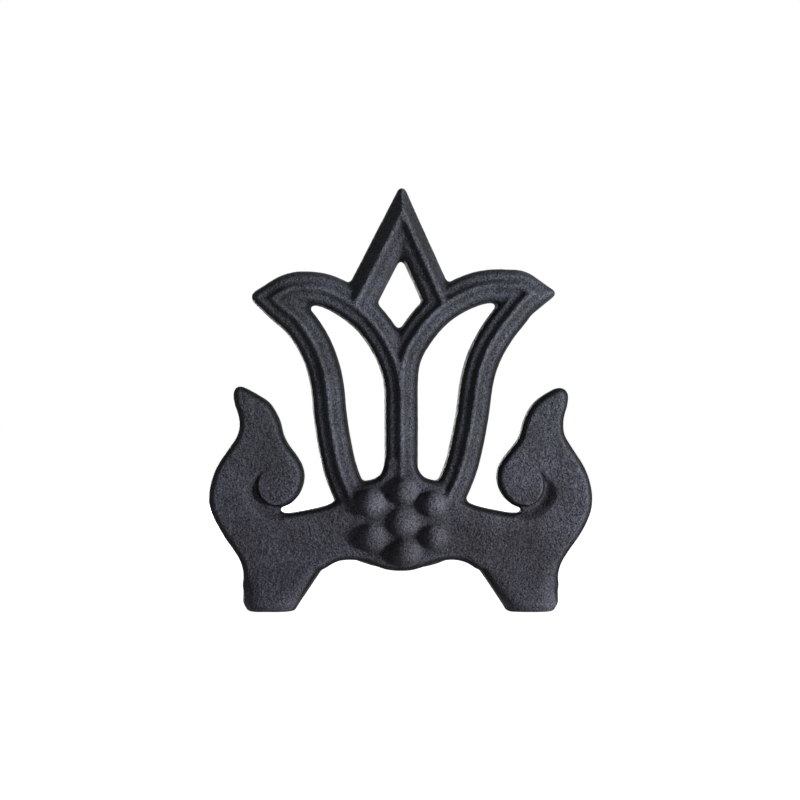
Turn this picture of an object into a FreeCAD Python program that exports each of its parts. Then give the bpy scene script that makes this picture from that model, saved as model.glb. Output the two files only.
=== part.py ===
import FreeCAD, Part
import math
import os
from FreeCAD import Placement, Rotation, Vector

# Railing finial, one piece of cast iron: a spear point over two open petals, a boss of seven
# berries, and two scrolled arms that each end in a foot. Millimetres. X runs to the right and
# Z up, and the front looks along -Y. The origin is midway between the feet, on the ground, in
# the parting plane of the mould (Y = 0). The back repeats the front.

# Driving dimensions.
SIZES = {
    "yoke_thickness": 11.0,
    "yoke_edge_bevel": 1.8,
    "bar_half_width": 6.05,
    "bar_step_height": 4.9,
    "bar_step_half_width": 3.6,
    "bead_height": 6.4,
    "bead_top_half_width": 0.5,
    "bead_half_width": 1.4,
    "stem_axis": 0.2,
    "stem_root_rise": 7.1,
    "stem_fork": 75.5,
    "petal_tip_run": 3.0,
    "petal_tip_radius_left": 3.2,
    "petal_tip_radius_right": 1.9,
    "spear_axis": 0.6,
    "spear_crest_rise": 65.3,
    "spear_lean_left": 27.2,
    "spear_lean_right": 24.3,
    "spear_inner_width": 6.8,
    "spear_outer_width_left": 5.4,
    "spear_outer_width_right": 4.7,
    "spear_edge_height": 1.6,
    "spear_edge_bevel": 0.5,
    "spear_tip_radius": 1.9,
    "boss_axis": 0.2,
    "boss_centre_height": 30.9,
    "boss_half_length": 27.0,
    "boss_half_height": 16.3,
    "boss_half_depth": 7.4,
    "berry_front_depth": 10.2,
    "foot_outer_offset": 55.9,
    "foot_inner_offset": 35.8,
    "foot_thickness": 18.0,
    "foot_corner_radius": 7.0,
    "foot_bevel_height": 2.8,
    "foot_bevel_inset": 1.7,
    "ankle_height": 17.0,
    "ankle_outer_offset": 55.6,
    "ankle_inner_offset": 26.2,
    "ankle_thickness": 9.6,
    "ankle_corner_radius": 4.5,
    "scroll_centre_offset": 44.0,
    "scroll_centre_height": 45.6,
    "groove_outer_radius": 9.9,
    "groove_inner_radius": 6.0,
    "groove_fade_angle": 36.0,
    "groove_mouth_angle": -105.0,
    "groove_depth": 2.6,
    "groove_width": 4.4,
    "groove_disc_wall": 0.8,
}

# Outlines are chains of tangent arcs. Each node is a point on the chain and the way it runs
# there, as (offset from the middle, height, heading in degrees). Both sides share the arms and
# the feet. The scrolls, the flames and the bead lines of the petals differ a little.
ARM_TOP = [
    (0.0, 56.0, 0.0), (3.0, 56.0, 0.0), (5.8, 53.0, -90.0), (10.0, 46.5, -14.0),
    (14.5, 45.4, -20.0), (20.5, 40.6, -38.0), (27.0, 37.1, -17.0), (37.1, 34.9, -10.0),
    (41.0, 34.6, 3.0), (43.1, 35.1, 35.0), (43.1, 36.2, 155.0),
]
SCROLL_FRONT = {
    "left": [(39.0, 38.0, 143.0), (34.2, 47.0, 93.0), (38.2, 56.6, 50.0), (42.1, 64.5, 80.0),
             (45.4, 72.2, 56.0), (52.0, 77.3, 29.0)],
    "right": [(39.0, 38.0, 143.0), (34.0, 47.0, 93.0), (38.3, 56.4, 49.0), (42.8, 64.2, 80.0),
              (46.0, 72.0, 56.0), (52.0, 77.2, 29.0)],
}
FLAME_TIP = {
    "left": [(56.2, 79.4, 22.0), (59.2, 76.1, -95.0)],
    "right": [(56.4, 79.0, 2.0), (59.4, 75.6, -92.0)],
}
SCROLL_BACK = {
    "left": [(57.0, 66.0, -90.0), (58.5, 60.8, -58.0), (63.5, 53.6, -57.0), (67.8, 39.5, -90.0),
             (63.8, 28.5, -120.0), (57.6, 19.3, -121.0), (55.6, 13.0, -95.0)],
    "right": [(57.6, 66.0, -90.0), (58.8, 60.8, -58.0), (63.5, 53.6, -57.0), (67.9, 39.5, -90.0),
              (64.3, 28.3, -120.0), (58.0, 19.1, -121.0), (55.8, 13.0, -95.0)],
}
FOOT_CORE = [
    (55.9, 9.0, -91.0), (51.5, 4.5, -180.0), (45.0, 4.5, -180.0), (40.0, 7.5, -222.0),
    (32.0, 13.8, -182.0),
]
UNDERSIDE = [
    (25.2, 16.0, -217.0), (18.0, 18.1, -180.0), (11.0, 16.8, -160.0), (6.0, 14.9, -163.0),
    (0.0, 14.2, -180.0),
]

# Bead lines of the petals, as (x, rise, heading). The inner bar runs from the fork of the stem to
# the petal's tip, and the outer bar from inside the boss to the same tip. Rises are over the
# fork, apart from the outer bar's root, whose rises are over the middle of the boss.
PETALS = {
    "left": {
        "inner": [(-2.3, 13.6, 112.0), (-10.4, 27.0, 131.0), (-23.6, 36.8, 153.0),
                  (-34.3, 39.0, 180.0)],
        "root": [(-12.7, -0.4, 115.0), (-18.6, 11.8, 115.0)],
        "outer": [(-24.8, -8.0, 98.0), (-26.2, 5.0, 99.0), (-36.3, 27.2, 131.0)],
        "tip": (-45.0, 35.1), "inner_end": 213.0, "outer_end": 136.0,
    },
    "right": {
        "inner": [(1.3, 14.0, 75.0), (7.3, 24.8, 54.0), (25.4, 38.2, 20.0), (37.1, 39.7, -3.0)],
        "root": [(12.3, 0.6, 64.0), (18.8, 13.3, 65.0)],
        "outer": [(25.1, -8.0, 80.0), (27.2, 6.5, 79.0), (38.5, 28.7, 50.0)],
        "tip": (46.1, 36.8), "inner_end": -35.0, "outer_end": 39.0,
    },
}

# Berries, as (x, rise over the middle of the boss, radius). All reach equally far forward.
BERRIES = {
    "middle": (0.9, 0.7, 6.6), "top": (1.2, 11.6, 5.0), "bottom": (1.9, -9.5, 5.7),
    "upper_left": (-10.2, 7.5, 5.4), "lower_left": (-9.6, -4.3, 5.7),
    "upper_right": (11.5, 6.9, 4.8), "lower_right": (11.9, -4.1, 4.7),
}

SIDES = {"left": -1.0, "right": 1.0}
FACES = {"front": -1.0, "back": 1.0}
REACH = 200.0


doc = FreeCAD.newDocument("railing_finial")


def make_sheet():
    sheet = doc.addObject("Spreadsheet::Sheet", "Sizes")
    for row, (alias, value) in enumerate(SIZES.items(), start=1):
        sheet.set("A%d" % row, alias)
        sheet.set("B%d" % row, str(value))
        sheet.setAlias("B%d" % row, alias)
    doc.recompute()
    return sheet


sheet = make_sheet()


def size(alias):
    return float(sheet.get(alias))


def heading_vector(degrees):
    return Vector(math.cos(math.radians(degrees)), math.sin(math.radians(degrees)), 0)


def tangent_arc(start, heading, end):
    """Arc from start to end that leaves start along heading, or a line where it is straight."""
    chord = end - start
    along = math.degrees(math.atan2(chord.y, chord.x))
    turn = (along - heading + 180.0) % 360.0 - 180.0
    if abs(turn) < 0.01:
        return Part.LineSegment(start, end)
    across = Vector(-chord.y, chord.x, 0).normalize()
    sagitta = chord.Length / 2 * math.tan(math.radians(turn) / 2)
    return Part.Arc(start, (start + end) * 0.5 - across * sagitta, end)


def arc_pair(start, start_heading, end, end_heading):
    """Two arcs, tangent to each other, that join two nodes with their headings."""
    leave = heading_vector(start_heading)
    arrive = heading_vector(end_heading)
    gap = end - start
    spread = 2 * (1 - leave.dot(arrive))
    if spread < 1e-9:
        reach = gap.Length ** 2 / (4 * gap.dot(arrive))
    else:
        lean = gap.dot(leave + arrive)
        reach = (math.sqrt(lean ** 2 + spread * gap.dot(gap)) - lean) / spread
    middle = (start + end + (leave - arrive) * reach) * 0.5
    chord = end - middle
    middle_heading = 2 * math.degrees(math.atan2(chord.y, chord.x)) - end_heading
    return [tangent_arc(start, start_heading, middle), tangent_arc(middle, middle_heading, end)]


def arc_chain(nodes, sign=1.0):
    """Tangent arcs through the nodes, mirrored to the left where sign is negative."""
    placed = []
    for x, z, heading in nodes:
        placed.append((Vector(sign * x, z, 0), heading if sign > 0 else 180.0 - heading))
    curves = []
    for (start, leave), (end, arrive) in zip(placed, placed[1:]):
        curves += arc_pair(start, leave, end, arrive)
    return curves


def make_yoke():
    """Arms, scrolls and the plate behind the boss: one rounded plate, cut from one outline."""
    body = doc.addObject("PartDesign::Body", "yoke")
    front_plane = [f for f in body.Origin.OriginFeatures if f.Role == "XZ_Plane"][0]
    sketch = body.newObject("Sketcher::SketchObject", "yoke_outline")
    sketch.AttachmentSupport = [(front_plane, "")]
    sketch.MapMode = "FlatFace"
    for side, sign in SIDES.items():
        flame = SCROLL_FRONT[side] + FLAME_TIP[side] + SCROLL_BACK[side]
        sketch.addGeometry(arc_chain(ARM_TOP + flame + FOOT_CORE + UNDERSIDE, sign), False)
    pad = body.newObject("PartDesign::Pad", "yoke_plate")
    pad.Profile = sketch
    pad.SideType = "Symmetric"
    pad.setExpression("Length", "Sizes.yoke_thickness")
    doc.recompute()
    half = size("yoke_thickness") / 2
    rim = []
    for number, edge in enumerate(pad.Shape.Edges, start=1):
        if all(abs(abs(v.Y) - half) < 1e-6 for v in edge.Vertexes) and \
                abs(edge.Vertexes[0].Y - edge.Vertexes[-1].Y) < 1e-6:
            rim.append("Edge%d" % number)
    bevel = body.newObject("PartDesign::Chamfer", "yoke_rim")
    bevel.Base = (pad, rim)
    bevel.setExpression("Size", "Sizes.yoke_edge_bevel")
    doc.recompute()
    return body


def stepped_side(outer):
    """Moulded side of a bar: the bead's flank, a flat step and an edge rounded in two chords."""
    step = size("bar_step_height")
    ledge = size("bar_step_half_width")
    points = [(size("bead_top_half_width"), size("bead_height")), (size("bead_half_width"), step)]
    for degrees in (0.0, 45.0, 90.0):
        turn = math.radians(degrees)
        points.append((ledge + (outer - ledge) * math.sin(turn), step * math.cos(turn)))
    return points


def bevelled_side(outer):
    """Plain side of a spear bar: one flat bevel from the bead down to a thin edge."""
    return [(size("bead_top_half_width"), size("bead_height")),
            (outer - size("spear_edge_bevel"), size("spear_edge_height")), (outer, 0.0)]


def closed_section(left, right):
    """Section with the given sides, (outward, forward) points, mirrored behind the parting plane."""
    front = [(-u, v) for u, v in reversed(left)] + right
    back = [(u, -v) for u, v in reversed(front[1:-1])]
    corners = [Vector(u, v) for u, v in front + back]
    return Part.makePolygon(corners + corners[:1])


def stand_across(section, node):
    """Stand a section across a path at a node: its right to the path's right, its top forward."""
    along = heading_vector(node[2])
    right = Vector(along.y, 0, -along.x)
    back = Vector(-along.x, 0, -along.y)
    stood = section.copy()
    stood.Placement = Placement(FreeCAD.Matrix(
        right.x, 0, back.x, node[0],
        right.y, -1, back.y, 0,
        right.z, 0, back.z, node[1],
        0, 0, 0, 1))
    return stood


def upright(curves):
    """Wire of curves drawn flat, stood up in the parting plane."""
    edges = [curve.toShape() for curve in curves]
    for edge in edges:
        edge.rotate(Vector(), Vector(1, 0, 0), 90)
    return Part.Wire(edges)


def sweep(spine, section):
    shell = Part.BRepOffsetAPI.MakePipeShell(spine)
    shell.setBiNormalMode(Vector(0, 1, 0))
    shell.add(section)
    shell.build()
    shell.makeSolid()
    return shell.shape()


def upright_prism(points):
    """Prism right through the part, over a polygon of (x, z) points."""
    corners = [Vector(x, -REACH, z) for x, z in points]
    return Part.Face(Part.makePolygon(corners + corners[:1])).extrude(Vector(0, 2 * REACH, 0))


def beside(point, heading, ahead, behind, width):
    """Prism beside a line through point: width to its left, or to its right if negative."""
    along = heading_vector(heading)
    across = Vector(-along.y, along.x, 0) * width
    start = Vector(point[0], point[1], 0) - along * behind
    end = Vector(point[0], point[1], 0) + along * ahead
    corners = [start, end, end + across, start + across]
    return upright_prism([(corner.x, corner.y) for corner in corners])


def tip_waste(corner, headings, widths, radius):
    """What is cut off where two bars meet in a point, to leave a round tip."""
    normals = []
    outward = heading_vector(headings[0]) + heading_vector(headings[1])
    for heading in headings:
        normal = heading_vector(heading + 90.0)
        normals.append(normal if normal.dot(outward) > 0 else normal * -1)
    first, second = normals
    near = widths[0] - radius
    far = widths[1] - radius
    turn = first.x * second.y - first.y * second.x
    centre = Vector(corner[0] + (near * second.y - far * first.y) / turn,
                    corner[1] + (far * first.x - near * second.x) / turn, 0)
    beyond = 5 * radius
    rim = [centre, centre + first * beyond, centre + outward.normalize() * 2 * beyond,
           centre + second * beyond]
    wedge = upright_prism([(point.x, point.y) for point in rim])
    core = Part.makeCylinder(radius, 2 * REACH, Vector(centre.x, -REACH, centre.y),
                             Vector(0, 1, 0))
    return wedge.cut(core)


def lifted(nodes, level):
    return [(x, level + rise, heading) for x, rise, heading in nodes]


def petal_tip(side):
    x, rise = PETALS[side]["tip"]
    return x, size("stem_fork") + rise


def into_tip(side, name):
    """Bead line of a petal's bar from the level of the fork to its tip, its end straight."""
    x, z = petal_tip(side)
    heading = PETALS[side][name + "_end"]
    run = heading_vector(heading) * size("petal_tip_run")
    nodes = lifted(PETALS[side][name], size("stem_fork"))
    return nodes + [(x - run.x, z - run.y, heading), (x, z, heading)]


def inner_nodes(side):
    return [(size("stem_axis"), size("stem_fork"), 90.0)] + into_tip(side, "inner")


def past_tip(nodes):
    """The same bead line, run straight on past its last node by a bar's whole width."""
    x, z, heading = nodes[-1]
    on = heading_vector(heading) * 1.5 * size("bar_half_width")
    return nodes + [(x + on.x, z + on.y, heading)]


def swept_bar(nodes, section):
    return sweep(upright(arc_chain(nodes)), stand_across(section, nodes[0]))


def petal_bars(side):
    """Both bars of a petal, mitred at its tip; the inner one brings its own half of the stem."""
    sign = SIDES[side]
    tip = petal_tip(side)
    ends = (PETALS[side]["inner_end"], PETALS[side]["outer_end"])
    width = size("bar_half_width")
    section = closed_section(stepped_side(width), stepped_side(width))
    boss = size("boss_centre_height")
    stem = [(size("stem_axis"), boss + size("stem_root_rise"), 90.0)]
    inner = swept_bar(past_tip(stem + inner_nodes(side)), section)
    outer = swept_bar(past_tip(lifted(PETALS[side]["root"], boss) + into_tip(side, "outer")), section)
    inner = inner.cut(beside((size("stem_axis"), 0.0), 90.0, REACH, REACH, sign * REACH))
    behind = 0.9 * size("petal_tip_run")
    ahead = 3.3 * width
    inner = inner.cut(beside(tip, sum(ends) / 2, ahead, behind, -sign * ahead))
    outer = outer.cut(beside(tip, sum(ends) / 2, ahead, behind, sign * ahead))
    waste = tip_waste(tip, ends, (width, width), size("petal_tip_radius_" + side))
    return inner.cut(waste), outer.cut(waste)


def spear_heading(side):
    return 90.0 + SIDES[side] * size("spear_lean_" + side)


def hip(side, spear_line):
    """Node where a spear bar's bead lands on the bead of the petal below it."""
    bead = upright(arc_chain(inner_nodes(side)))
    hit = bead.distToShape(spear_line)[1][0][0]
    edge = min(bead.Edges, key=lambda e: e.distToShape(Part.Vertex(hit))[0])
    tangent = edge.tangentAt(edge.Curve.parameter(hit))
    return hit.x, hit.z, math.degrees(math.atan2(tangent.z, tangent.x))


def spear_bar(side):
    """One edge of the spear, from the bead of a petal up to the point, cut from a longer bar."""
    sign = SIDES[side]
    heading = spear_heading(side)
    along = heading_vector(heading)
    along = Vector(along.x, 0, along.y)
    top = Vector(size("spear_axis"), 0, size("stem_fork") + size("spear_crest_rise"))
    start = top - along * (0.7 * size("spear_crest_rise"))
    inner = stepped_side(size("spear_inner_width"))
    outer = bevelled_side(size("spear_outer_width_" + side))
    section = closed_section(inner, outer) if sign > 0 else closed_section(outer, inner)
    stood = stand_across(section, (start.x, start.z, heading))
    bar = Part.Face(stood).extrude(along * (0.92 * size("spear_crest_rise")))
    x, z, bead = hip(side, Part.makeLine(start, top))
    bar = bar.cut(beside((x, z), bead, REACH, REACH, -sign * REACH))
    bar = bar.cut(beside((top.x, 0.0), 90.0, REACH, REACH, sign * REACH))
    return bar.cut(tip_waste((top.x, top.z), (spear_heading("left"), spear_heading("right")),
                             (size("spear_outer_width_left"), size("spear_outer_width_right")),
                             size("spear_tip_radius")))


def level_ring(inner, outer, thickness, corner, height):
    """Level outline between two offsets from the middle, each corner rounded in three chords."""
    half = thickness / 2
    centres = [(outer - corner, half - corner), (inner + corner, half - corner),
               (inner + corner, corner - half), (outer - corner, corner - half)]
    points = []
    for quarter, (x, y) in enumerate(centres):
        for degrees in (0.0, 30.0, 60.0, 90.0):
            turn = math.radians(90.0 * quarter + degrees)
            points.append(Vector(x + corner * math.cos(turn), y + corner * math.sin(turn), height))
    return points


def solid_between(rings):
    """Solid with flat facets between successive rings of as many points."""
    faces = [Part.Face(Part.makePolygon(ring + ring[:1])) for ring in (rings[0], rings[-1])]
    for lower, upper in zip(rings, rings[1:]):
        for k in range(len(lower)):
            n = (k + 1) % len(lower)
            corners = [lower[k], lower[n], upper[n], upper[k], lower[k]]
            faces.append(Part.Face(Part.makePolygon(corners)))
    return Part.makeSolid(Part.makeShell(faces))


def foot_shape(side):
    """Foot that widens from the arm down to a bevelled sole on the ground."""
    inset = size("foot_bevel_inset")
    corner = size("foot_corner_radius")
    inner = size("foot_inner_offset")
    outer = size("foot_outer_offset")
    thickness = size("foot_thickness")
    foot = solid_between([
        level_ring(inner + inset, outer - inset, thickness - 2 * inset, corner - inset, 0.0),
        level_ring(inner, outer, thickness, corner, size("foot_bevel_height")),
        level_ring(size("ankle_inner_offset"), size("ankle_outer_offset"),
                   size("ankle_thickness"), size("ankle_corner_radius"), size("ankle_height")),
    ])
    if SIDES[side] < 0:
        return foot.mirror(Vector(), Vector(1, 0, 0))
    return foot


def groove_shape(side, facing):
    """Cutter for the groove that curls round a scroll, sunk into one face of the plate.

    It runs from the mouth under the scroll up to where it fades out beside it.
    """
    face = size("yoke_thickness") / 2
    depth = size("groove_depth")
    outer = size("groove_outer_radius")
    inner = size("groove_inner_radius")
    mouth = size("groove_mouth_angle")
    fade = size("groove_fade_angle")
    points = []
    for step in range(8):
        share = step / 7.0
        angle = math.radians(mouth + (fade - mouth) * share)
        radius = outer + (inner - outer) * share
        sunk = face - depth * min(1.0, 2.6 * (1.0 - share) - 0.1)
        points.append(Vector(SIDES[side] * (size("scroll_centre_offset") + radius * math.cos(angle)),
                             facing * sunk,
                             size("scroll_centre_height") + radius * math.sin(angle)))
    spine = Part.BSplineCurve()
    spine.interpolate(points)
    spine = Part.Wire(spine.toShape())
    run = spine.Edges[0].tangentAt(spine.Edges[0].FirstParameter)
    run = Vector(run.x, 0, run.z).normalize()
    away = Vector(0, facing, 0)
    centre = Vector(SIDES[side] * size("scroll_centre_offset"), 0, size("scroll_centre_height"))
    across = run.cross(away)
    if across.dot(points[0] - centre) < 0:
        across = across * -1
    bank = away * depth + across * size("groove_width")
    wall = away * depth - across * size("groove_disc_wall")
    corners = [points[0], points[0] + bank * 2, points[0] + wall * 2]
    return sweep(spine, Part.makePolygon(corners + corners[:1]))


def add_shape(name, shape):
    feature = doc.addObject("Part::Feature", name)
    feature.Shape = shape
    return feature


def dome(centre, half_sizes, sides, bands):
    """Faceted ellipsoid with its poles to the front and back."""
    step = 180.0 / bands
    rings = []
    for band in range(bands):
        rise = math.radians(-90.0 + step * (band + 0.5))
        ring = []
        for side in range(sides):
            turn = 2 * math.pi * side / sides
            ring.append(Vector(centre[0] + half_sizes[0] * math.cos(rise) * math.cos(turn),
                               centre[1] + half_sizes[1] * math.sin(rise),
                               centre[2] + half_sizes[2] * math.cos(rise) * math.sin(turn)))
        rings.append(ring)
    return solid_between(rings)


def boss_shape():
    return dome((size("boss_axis"), 0.0, size("boss_centre_height")),
                (size("boss_half_length"), size("boss_half_depth"), size("boss_half_height")),
                28, 6)


def berry_shape(x, rise, radius, facing):
    depth = size("berry_front_depth") - radius
    centre = (x, facing * depth, size("boss_centre_height") + rise)
    return dome(centre, (radius, radius, radius), 16, 8)


def add_pieces():
    """Everything but the scrolled plate, each as an object of its own."""
    pieces = [add_shape("boss", boss_shape())]
    for side in SIDES:
        inner, outer = petal_bars(side)
        pieces.append(add_shape("inner_bar_" + side, inner))
        pieces.append(add_shape("outer_bar_" + side, outer))
        pieces.append(add_shape("spear_bar_" + side, spear_bar(side)))
        pieces.append(add_shape("foot_" + side, foot_shape(side)))
    for name, (x, rise, radius) in BERRIES.items():
        for face, facing in FACES.items():
            berry = berry_shape(x, rise, radius, facing)
            pieces.append(add_shape("berry_%s_%s" % (name, face), berry))
    return pieces


def add_scrolled_yoke():
    """The plate with a groove curled round each scroll, on both faces."""
    cutters = []
    for side in SIDES:
        for face, facing in FACES.items():
            cutters.append(add_shape("groove_%s_%s" % (side, face), groove_shape(side, facing)))
    grooves = doc.addObject("Part::MultiFuse", "grooves")
    grooves.Shapes = cutters
    scrolled = doc.addObject("Part::Cut", "scrolled_yoke")
    scrolled.Base = make_yoke()
    scrolled.Tool = grooves
    return scrolled


def check_objects():
    for item in doc.Objects:
        if "Invalid" in item.State or "Error" in item.State:
            raise RuntimeError("%s is in state %s" % (item.Name, item.State))
        if item.isDerivedFrom("Part::Feature") and not item.isDerivedFrom("Sketcher::SketchObject"):
            if item.Shape.isNull() or not item.Shape.isValid():
                raise RuntimeError("%s has no valid shape" % item.Name)


casting = doc.addObject("Part::MultiFuse", "finial_casting")
casting.Shapes = [add_scrolled_yoke()] + add_pieces()
casting.Label = "finial_casting"
doc.recompute()
check_objects()
os.makedirs("parts", exist_ok=True)
casting.Shape.exportStep("parts/finial_casting.step")
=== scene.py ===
# %% [markdown]
# # A cast-iron railing finial
# The object is a dark iron crest that stands on the top rail of a fence: a spear point over two
# open petals, a boss of berries, and two arms with scrolls, flames and feet. Its solid comes
# packed from the construction step and is the fixed frame here. This lesson gives it the looks of
# a sand casting: softened edges, an uneven skin and a fine dark grain. Lengths are in metres.

# %% Load the frame
import math

import bpy
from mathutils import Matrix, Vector


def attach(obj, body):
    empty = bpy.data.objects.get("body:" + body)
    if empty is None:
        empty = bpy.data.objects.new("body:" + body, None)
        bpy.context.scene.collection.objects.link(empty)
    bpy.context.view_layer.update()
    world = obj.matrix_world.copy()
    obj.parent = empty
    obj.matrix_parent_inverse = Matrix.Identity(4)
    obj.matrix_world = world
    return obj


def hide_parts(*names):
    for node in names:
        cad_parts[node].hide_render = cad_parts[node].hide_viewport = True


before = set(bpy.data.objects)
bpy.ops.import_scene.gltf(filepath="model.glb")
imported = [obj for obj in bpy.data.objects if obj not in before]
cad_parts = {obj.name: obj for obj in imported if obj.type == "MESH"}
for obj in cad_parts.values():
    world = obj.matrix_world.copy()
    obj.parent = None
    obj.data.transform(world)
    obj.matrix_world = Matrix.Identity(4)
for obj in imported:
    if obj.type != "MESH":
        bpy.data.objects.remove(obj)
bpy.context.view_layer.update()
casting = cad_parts["finial_casting"]

# %% [markdown]
# ## The view
# The photograph looks straight at the front from the level of the middle of the crest. One
# pixel of its 800 is 0.3555 mm at the parting plane, and the lens is long, as in a product
# picture, so the camera stands 650 mm away and the focal length follows from both.

# %% Camera
PIXEL = 0.0003555
CAMERA_DISTANCE = 0.65
SENSOR_WIDTH = 36.0

bpy.ops.object.camera_add(location=(-0.0002, -CAMERA_DISTANCE, 0.0747),
                          rotation=(math.radians(90), 0, 0))
camera = bpy.context.object
camera.name = "front_camera"
camera.data.sensor_width = SENSOR_WIDTH
camera.data.lens = SENSOR_WIDTH * CAMERA_DISTANCE / (800 * PIXEL)
camera.data.clip_end = 20
bpy.context.scene.camera = camera
print("lens %.1f mm" % camera.data.lens)

# %% [markdown]
# ## The casting's skin
# Molten iron doesn't fill a sharp corner of the sand, and a pattern is worn and filled before it
# is pressed, so no edge or inner corner of the real piece is sharp. The solid's edges are. A
# copy of it is welded and turned into an even net of small faces, and that net is then swelled,
# netted again, shrunk back and smoothed. Each inner corner fills up with a small fillet on the
# way, and each edge is rounded, by about the same amount all over, as in the foundry.

# %% A welded copy of the solid
WELD_DISTANCE = 0.000002


def pick(*objects):
    """Selects only these objects; the last one is active."""
    bpy.ops.object.select_all(action="DESELECT")
    for item in objects:
        item.select_set(True)
    bpy.context.view_layer.objects.active = objects[-1]


skin = bpy.data.objects.new("casting_skin", casting.data.copy())
bpy.context.collection.objects.link(skin)
skin.matrix_world = casting.matrix_world
skin.data.materials.clear()
pick(skin)
bpy.ops.object.mode_set(mode="EDIT")
bpy.ops.mesh.select_all(action="SELECT")
bpy.ops.mesh.remove_doubles(threshold=WELD_DISTANCE)
bpy.ops.object.mode_set(mode="OBJECT")
print("welded copy:", len(skin.data.vertices), "points")

# %% [markdown]
# The boss and its berries are the roundest forms of the piece. The solid has them in flat
# facets, so true round forms of the same sizes are laid over them and joined to the copy before
# its net is made. The net runs over all of them as one skin. Every berry reaches equally far
# forward, and its radius sets how far it is sunk into the boss.

# %% Round forms for the boss and the berries
BOSS_CENTRE = Vector((0.0002, 0.0, 0.0309))
BOSS_HALF_SIZES = (0.0270, 0.0074, 0.0163)
BERRY_FRONT = 0.0101
BOSS_SEGMENTS = 96
BERRY_SEGMENTS = 48
# Place to the right of the middle, rise over the boss's centre, radius
BERRIES = [(0.0009, 0.0007, 0.0066), (0.0012, 0.0116, 0.0050), (0.0019, -0.0095, 0.0057),
           (-0.0102, 0.0075, 0.0054), (-0.0096, -0.0043, 0.0057), (0.0115, 0.0069, 0.0048),
           (0.0119, -0.0041, 0.0047)]

bpy.ops.object.select_all(action="DESELECT")
round_forms = []
bpy.ops.mesh.primitive_uv_sphere_add(segments=BOSS_SEGMENTS, ring_count=BOSS_SEGMENTS // 2,
                                     radius=1, location=BOSS_CENTRE, scale=BOSS_HALF_SIZES)
round_forms.append(bpy.context.object)
for x, rise, radius in BERRIES:
    for facing in (-1, 1):
        place = (x, facing * (BERRY_FRONT - radius), BOSS_CENTRE.z + rise)
        bpy.ops.mesh.primitive_uv_sphere_add(segments=BERRY_SEGMENTS,
                                             ring_count=BERRY_SEGMENTS // 2, radius=radius,
                                             location=place)
        round_forms.append(bpy.context.object)
pick(*round_forms, skin)
bpy.ops.object.join()
print("round forms joined:", len(round_forms))

# %% [markdown]
# The net is a voxel remesh. Its step of 0.42 mm is under half the width of the bead's narrow top
# on the bars, so the bead keeps its shape. Displace along the normals swells the net and shrinks
# it again, by the radius of the fillets. Bevels on the solid's edges would be another way. They
# weren't tried, because each place where several bars meet would need care of its own.

# %% Remesh and fillet the skin
NET_STEP = 0.00042
FILLET_RADIUS = 0.0006


def apply_modifier(piece, name, kind, **values):
    """Adds a modifier with these values to the active piece and applies it."""
    modifier = piece.modifiers.new(name, kind)
    for key, value in values.items():
        setattr(modifier, key, value)
    bpy.ops.object.modifier_apply(modifier=name)


def make_net(piece):
    apply_modifier(piece, "net", "REMESH", mode="VOXEL", voxel_size=NET_STEP)


pick(skin)
make_net(skin)
apply_modifier(skin, "swell", "DISPLACE", strength=FILLET_RADIUS, mid_level=0)
make_net(skin)
apply_modifier(skin, "shrink", "DISPLACE", strength=-FILLET_RADIUS, mid_level=0)
make_net(skin)
print("filleted net:", len(skin.data.polygons), "faces")

# %% [markdown]
# The groove beside each scroll's disc looks cut with a sharp tool, and its foot is crisper than
# any fillet. A tapered gouge follows the disc's edge, deepest at the
# notch and running out above, and a Boolean modifier cuts it from both faces of the net.

# %% The path of the gouge
SCROLL_OFFSET = 0.0440
SCROLL_HEIGHT = 0.0456
PLATE_FACE = 0.0055
GOUGE_STEPS = 9
GOUGE_START_ANGLE = -100
GOUGE_TURN = 150
GOUGE_START_REACH = 0.0093
GOUGE_PULL_IN = 0.0034
GOUGE_DEPTH = 0.0017
GOUGE_RADIUS = 0.0009
GOUGE_TAPER = 0.45


def gouge_point(share):
    """(offset, height, depth under the face, gouge radius) from the notch to the run-out."""
    angle = math.radians(GOUGE_START_ANGLE + GOUGE_TURN * share)
    reach = GOUGE_START_REACH - GOUGE_PULL_IN * share
    return (SCROLL_OFFSET + reach * math.cos(angle), SCROLL_HEIGHT + reach * math.sin(angle),
            GOUGE_DEPTH * (1 - share ** 3), GOUGE_RADIUS * (1 - GOUGE_TAPER * share))


print("gouge from", [round(v, 4) for v in gouge_point(0)], "to",
      [round(v, 4) for v in gouge_point(1)])

# %% [markdown]
# Each gouge is a round curve whose points carry their own radius. It is made a mesh, because a
# Boolean modifier cuts with meshes only. One gouge for each scroll and face makes four.

# %% Gouge the foot of each scroll's groove


gouges = []
for side in (-1, 1):
    for facing in (-1, 1):
        path = bpy.data.curves.new("scroll_gouge", "CURVE")
        path.dimensions = "3D"
        path.bevel_depth = 1.0
        path.bevel_resolution = 3
        path.use_fill_caps = True
        line = path.splines.new("POLY")
        line.points.add(GOUGE_STEPS - 1)
        for number, point in enumerate(line.points):
            x, z, depth, radius = gouge_point(number / (GOUGE_STEPS - 1))
            point.co = (side * x, facing * (PLATE_FACE - depth + radius), z, 1)
            point.radius = radius
        gouge = bpy.data.objects.new("scroll_gouge", path)
        bpy.context.collection.objects.link(gouge)
        pick(gouge)
        bpy.ops.object.convert(target="MESH")
        gouges.append(bpy.context.object)
pick(*gouges)
bpy.ops.object.join()
gouges = bpy.context.object
bpy.ops.object.mode_set(mode="EDIT")
bpy.ops.mesh.select_all(action="SELECT")
bpy.ops.mesh.normals_make_consistent(inside=False)
bpy.ops.object.mode_set(mode="OBJECT")
pick(skin)
apply_modifier(skin, "gouge", "BOOLEAN", operation="DIFFERENCE", object=gouges, solver="EXACT")
bpy.data.objects.remove(gouges)
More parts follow.
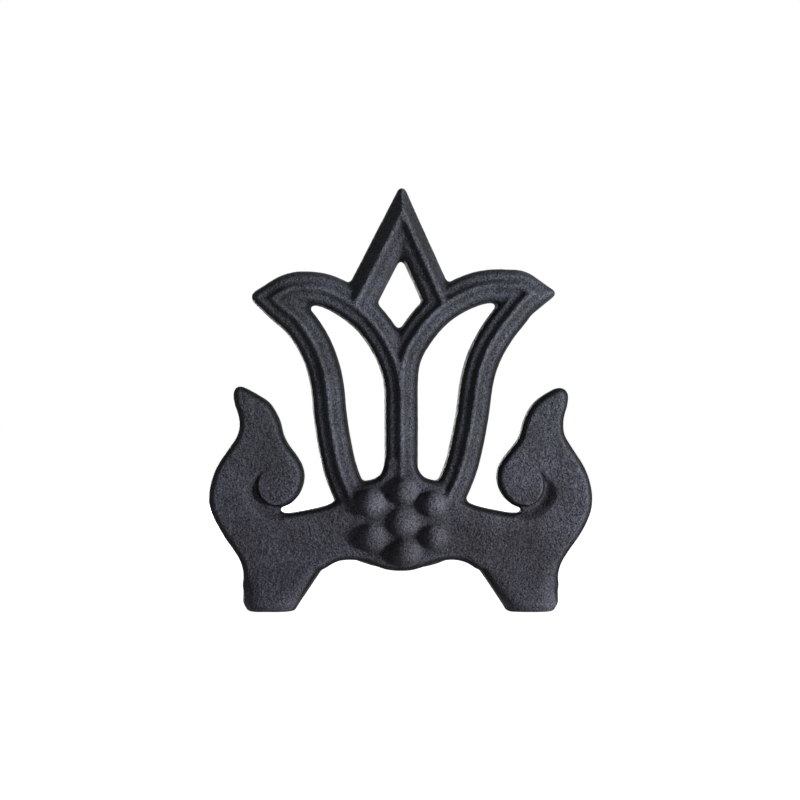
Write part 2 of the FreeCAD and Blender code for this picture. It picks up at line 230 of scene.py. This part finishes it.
print("gouged net:", len(skin.data.polygons), "faces")

# %% [markdown]
# Fresh netting takes in the gouged grooves, and a few passes of Smooth round the outer edges. Two
# Displace modifiers add the slow unevenness of a rammed sand mould and its small lumps, about a
# tenth of a millimetre high. Decimate last thins the net on the flats, where the points aren't
# needed, because a piece has to stay light.

# %% Round and roughen the skin
ROUNDING_PASSES = 3
WAVE_SIZE, WAVE_HEIGHT = 0.007, 0.00016
LUMP_SIZE, LUMP_HEIGHT = 0.0018, 0.00010
MOST_TRIANGLES = 190000


def add_unevenness(piece, name, lump_size, height):
    """Raises and lowers the skin by half of height, in lumps of about lump_size."""
    texture = bpy.data.textures.new(name, "CLOUDS")
    texture.noise_scale = lump_size
    texture.noise_depth = 2
    apply_modifier(piece, name, "DISPLACE", texture=texture, texture_coords="LOCAL",
                   strength=height, mid_level=0.5)


make_net(skin)
apply_modifier(skin, "rounding", "SMOOTH", factor=0.5, iterations=ROUNDING_PASSES)
add_unevenness(skin, "mould_waves", WAVE_SIZE, WAVE_HEIGHT)
add_unevenness(skin, "sand_lumps", LUMP_SIZE, LUMP_HEIGHT)
net_triangles = 2 * len(skin.data.polygons)
print("net:", net_triangles, "triangles")
apply_modifier(skin, "thinning", "DECIMATE", ratio=min(1.0, MOST_TRIANGLES / net_triangles))
bpy.ops.object.shade_smooth()
print("skin:", len(skin.data.polygons), "faces")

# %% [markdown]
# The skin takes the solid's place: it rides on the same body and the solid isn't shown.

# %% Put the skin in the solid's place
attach(skin, "root")
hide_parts("finial_casting")
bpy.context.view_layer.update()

# %% [markdown]
# ## The iron
# In the photograph the iron is a dark blue-grey with a dull sheen. The grain of the sand shows as
# tight pits and bumps a fraction of a millimetre wide, and slow patches are a little lighter.
# Edges are brighter, partly from wear and partly as a painted highlight, and deep corners carry
# painted shade. All patterns read Object coordinates, in metres, so a noise scale of 1000 gives
# grains of about a millimetre.

# %% Patterns of the casting's material


def add_node(tree, kind, **values):
    """A new node; values are set on its sockets by name, or on the node itself."""
    node = tree.nodes.new(kind)
    for key, value in values.items():
        socket = node.inputs.get(key.replace("_", " ").title())
        if socket is None:
            setattr(node, key, value)
        else:
            socket.default_value = value
    return node


def new_tree(owner):
    """The empty node tree of a material or a world."""
    owner.use_nodes = True
    owner.node_tree.nodes.clear()
    return owner.node_tree


iron = bpy.data.materials.new("sand_cast_iron")
tree = new_tree(iron)
coordinates = add_node(tree, "ShaderNodeTexCoord")
grain = add_node(tree, "ShaderNodeTexNoise", scale=1700.0, detail=3.0, roughness=0.65)
clumps = add_node(tree, "ShaderNodeTexNoise", scale=520.0, detail=2.0, roughness=0.5)
patches = add_node(tree, "ShaderNodeTexNoise", scale=55.0, detail=3.0, roughness=0.55)
pits = add_node(tree, "ShaderNodeTexVoronoi", scale=1100.0)
for texture in (grain, clumps, patches, pits):
    tree.links.new(coordinates.outputs["Object"], texture.inputs["Vector"])
print("patterns:", [n.name for n in tree.nodes])

# %% [markdown]
# Where the iron looks worn depends on its shape, and so does where light and shade are painted
# into its colour. Pointiness, which is high on outer edges and low in inner corners, makes the
# edges brighter, partly as wear and partly as a painted highlight, and paints shade into the
# corners. The photograph's steep rims and walls are nearly black, darker than the lamps here make
# them, because they lie in shade between the parts, and that shade is painted on them. They are
# found by their slope and by their nearness to the parting plane. The spear's slopes get less of
# this painted shade and the crowns of the berries a painted highlight, and the feet are darker, so
# each has a factor of its own. All these factors were set against the photograph.
# These places could be painted by hand, but the paint would be lost on a changed solid.

# %% Wear, painted shade and painted highlights
# Factors of the edge wear and of the painted shade and highlights
CORNER_SHADE, EDGE_WEAR_AND_HIGHLIGHT = 0.2, 1.85
CROWN_HIGHLIGHT = 1.3
WALL_SHADE, SPEAR_WALL_SHADE = 0.92, 0.5
SOLE_SHADE = 0.78


def spread(tree, source, low, high, low_out, high_out):
    """Maps a value that runs from low to high to the outputs low_out to high_out."""
    ramp = add_node(tree, "ShaderNodeMapRange", from_min=low, from_max=high, to_min=low_out,
                    to_max=high_out)
    tree.links.new(source, ramp.inputs["Value"])
    return ramp.outputs["Result"]


def combine(tree, operation, *sources):
    """One Math node over sockets or plain numbers."""
    node = add_node(tree, "ShaderNodeMath", operation=operation)
    for socket, source in zip(node.inputs, sources):
        if isinstance(source, float):
            socket.default_value = source
        else:
            tree.links.new(source, socket)
    return node.outputs["Value"]


def size_along(tree, source, axis):
    """Size of a vector's part along one axis, whichever way it points."""
    parts = add_node(tree, "ShaderNodeSeparateXYZ")
    tree.links.new(source, parts.inputs["Vector"])
    return combine(tree, "ABSOLUTE", parts.outputs[axis])


turned_forward = size_along(tree, coordinates.outputs["Normal"], "Y")
proud = size_along(tree, coordinates.outputs["Object"], "Y")
height = size_along(tree, coordinates.outputs["Object"], "Z")

# Painted shade: steep walls near the parting plane are darkened for the shade that falls between
# the parts; it is weaker on the spear, higher up.
steep = spread(tree, turned_forward, 0.65, 0.96, 1.0, 0.0)
deep = spread(tree, proud, 0.0050, 0.0058, 1.0, 0.0)
wall_shade_by_height = spread(tree, height, 0.104, 0.116, WALL_SHADE, SPEAR_WALL_SHADE)
painted_wall_shade = combine(tree, "MULTIPLY", combine(tree, "MULTIPLY", steep, deep), wall_shade_by_height)

# Outer edges are brightened, partly as wear and partly as a painted highlight; inner corners are
# darkened as painted shade.
edges = add_node(tree, "ShaderNodeNewGeometry").outputs["Pointiness"]
wear_and_painted_light = spread(tree, edges, 0.45, 0.56, CORNER_SHADE, EDGE_WEAR_AND_HIGHLIGHT)
wear_and_painted_light = combine(tree, "MULTIPLY", wear_and_painted_light, combine(tree, "SUBTRACT", 1.0, painted_wall_shade))
# Painted highlight: the crowns of the berries, which stand farthest forward, are brightened.
wear_and_painted_light = combine(tree, "MULTIPLY", wear_and_painted_light, spread(tree, proud, 0.0078, 0.0101, 1.0, CROWN_HIGHLIGHT))
wear_and_painted_light = combine(tree, "MULTIPLY", wear_and_painted_light, spread(tree, height, 0.0, 0.030, SOLE_SHADE, 1.0))
print("wear and soot:", len(tree.nodes), "nodes so far")

# %% [markdown]
# The colour starts from the slow patches, between two dark blue-greys. The photograph's bars are a
# trace greener and lighter than the arms below them, so the tint changes with the height. The
# wear, the painted shade and highlights, and the fine grain then lighten and darken the result.

# %% Colour
CREST_HEIGHT = 0.15
GRAIN_DARK, GRAIN_LIGHT = 0.1, 1.95


def colour_ramp(tree, source, low, low_colour, high, high_colour):
    """Runs from one colour to another while the source goes from low to high."""
    ramp = add_node(tree, "ShaderNodeValToRGB")
    ends = ramp.color_ramp.elements
    ends[0].position, ends[1].position = low, high
    ends[0].color, ends[1].color = (*low_colour, 1), (*high_colour, 1)
    tree.links.new(source, ramp.inputs["Fac"])
    return ramp.outputs["Color"]


tint = colour_ramp(tree, patches.outputs["Fac"], 0.35, (0.040, 0.040, 0.046),
                   0.68, (0.070, 0.073, 0.091))
# The tint changes with the height: lighter and a trace greener higher up.
share_of_height = spread(tree, height, 0.0, CREST_HEIGHT, 0.0, 1.0)
height_tint = colour_ramp(tree, share_of_height, 0.30, (0.92, 0.905, 0.93), 0.42, (0.96, 1.0, 1.0))
height_tinted = add_node(tree, "ShaderNodeVectorMath", operation="MULTIPLY")
tree.links.new(tint, height_tinted.inputs[0])
tree.links.new(height_tint, height_tinted.inputs[1])

speckle = spread(tree, grain.outputs["Fac"], 0.3, 0.7, GRAIN_DARK, GRAIN_LIGHT)
colour = add_node(tree, "ShaderNodeVectorMath", operation="SCALE")
tree.links.new(height_tinted.outputs["Vector"], colour.inputs[0])
tree.links.new(combine(tree, "MULTIPLY", wear_and_painted_light, speckle), colour.inputs["Scale"])
print("colour:", len(tree.nodes), "nodes so far")

# %% [markdown]
# The relief adds grains, clumps and pits, and a Bump node turns it into normals. It is too fine
# for the net, whose step is as wide as a grain. Cast iron is rough and hardly mirrors, so the
# shader's sheen is low. Constant values sit on the shader's own sockets.

# %% Relief, sheen and the shader
CLUMP_SHARE = 0.9
PIT_SHARE = 0.5
RELIEF_HEIGHT = 0.00045
SMOOTHEST, ROUGHEST = 0.48, 0.66

relief = combine(tree, "MULTIPLY_ADD", clumps.outputs["Fac"], CLUMP_SHARE, grain.outputs["Fac"])
relief = combine(tree, "MULTIPLY_ADD", pits.outputs["Distance"], PIT_SHARE, relief)
bump = add_node(tree, "ShaderNodeBump", strength=1.0, distance=RELIEF_HEIGHT)
tree.links.new(relief, bump.inputs["Height"])
sheen = spread(tree, clumps.outputs["Fac"], 0.3, 0.7, SMOOTHEST, ROUGHEST)

shader = add_node(tree, "ShaderNodeBsdfPrincipled", metallic=0.0)
shader.inputs["Specular IOR Level"].default_value = 0.06
tree.links.new(colour.outputs["Vector"], shader.inputs["Base Color"])
tree.links.new(sheen, shader.inputs["Roughness"])
tree.links.new(bump.outputs["Normal"], shader.inputs["Normal"])
surface = add_node(tree, "ShaderNodeOutputMaterial")
tree.links.new(shader.outputs["BSDF"], surface.inputs["Surface"])
skin.data.materials.append(iron)
print("material:", iron.name, len(tree.nodes), "nodes")

# %% [markdown]
# ## The floor and the light
# The photograph has a pure white ground. The floor is plain white paper that glows for the
# camera just enough to come out white, so that the object's soft shadow stays on it. Light Path
# keeps that glow off the object: only camera, glossy and transmission rays meet it.

# %% White floor
FLOOR_SIZE = 8
PAPER_GLOW = 0.965

bpy.ops.mesh.primitive_plane_add(size=FLOOR_SIZE, location=(0, 0, 0))
floor = bpy.context.object
floor.name = "floor"


def seen_directly(tree):
    """1 for camera, glossy and transmission rays, 0 for the light that falls on things."""
    ray = add_node(tree, "ShaderNodeLightPath")
    seen = combine(tree, "MAXIMUM", ray.outputs["Is Camera Ray"], ray.outputs["Is Glossy Ray"])
    return combine(tree, "MAXIMUM", seen, ray.outputs["Is Transmission Ray"])


paper = bpy.data.materials.new("white_paper")
tree = new_tree(paper)
matt = add_node(tree, "ShaderNodeBsdfDiffuse", color=(0.8, 0.8, 0.8, 1))
glow = add_node(tree, "ShaderNodeEmission", color=(1, 1, 1, 1))
tree.links.new(combine(tree, "MULTIPLY", seen_directly(tree), PAPER_GLOW), glow.inputs["Strength"])
both = add_node(tree, "ShaderNodeAddShader")
tree.links.new(matt.outputs["BSDF"], both.inputs[0])
tree.links.new(glow.outputs["Emission"], both.inputs[1])
surface = add_node(tree, "ShaderNodeOutputMaterial")
tree.links.new(both.outputs["Shader"], surface.inputs["Surface"])
floor.data.materials.append(paper)
print("floor:", floor.name)

# %% [markdown]
# The world is white where it is seen, so the ground has no end. As a light it is very dim,
# because light from all round would fill the dark walls that the photograph shows.

# %% World
AMBIENT = 0.04

world = bpy.data.worlds.new("studio")
bpy.context.scene.world = world
tree = new_tree(world)
room = add_node(tree, "ShaderNodeBackground", color=(1, 1, 1, 1))
strength = combine(tree, "MULTIPLY_ADD", seen_directly(tree), 1.0 - AMBIENT, AMBIENT)
tree.links.new(strength, room.inputs["Strength"])
surface = add_node(tree, "ShaderNodeOutputWorld")
tree.links.new(room.outputs["Background"], surface.inputs["Surface"])
print("world:", world.name)

# %% [markdown]
# In the photograph the light comes from the right, low and at a flat angle: beads and berries are
# bright on their right sides, the faces to the front are darker, and tops, left sides and deep
# walls are nearly black. One soft lamp stands low on the right, and a weak one in front opens up
# the shadows. A lamp behind lights the back alone, for views from there.

# %% Lamps
AIM = Vector((0, 0, 0.075))


def add_lamp(name, place, width, length, watts):
    """A soft lamp, width across and length up, that looks at the middle of the crest."""
    bpy.ops.object.light_add(type="AREA", location=place)
    lamp = bpy.context.object
    lamp.name = name
    lamp.data.shape = "RECTANGLE"
    lamp.data.size = width
    lamp.data.size_y = length
    lamp.data.energy = watts
    lamp.rotation_euler = (AIM - Vector(place)).to_track_quat("-Z", "Y").to_euler()


add_lamp("key_low_right", (0.56, -0.29, 0.05), 0.16, 0.08, 7.0)
add_lamp("fill_front", (0.1, -1.1, 0.25), 0.5, 0.4, 0.75)
add_lamp("back", (-0.25, 0.6, 0.1), 0.3, 0.2, 3.4)
bpy.context.scene.view_settings.view_transform = "Standard"
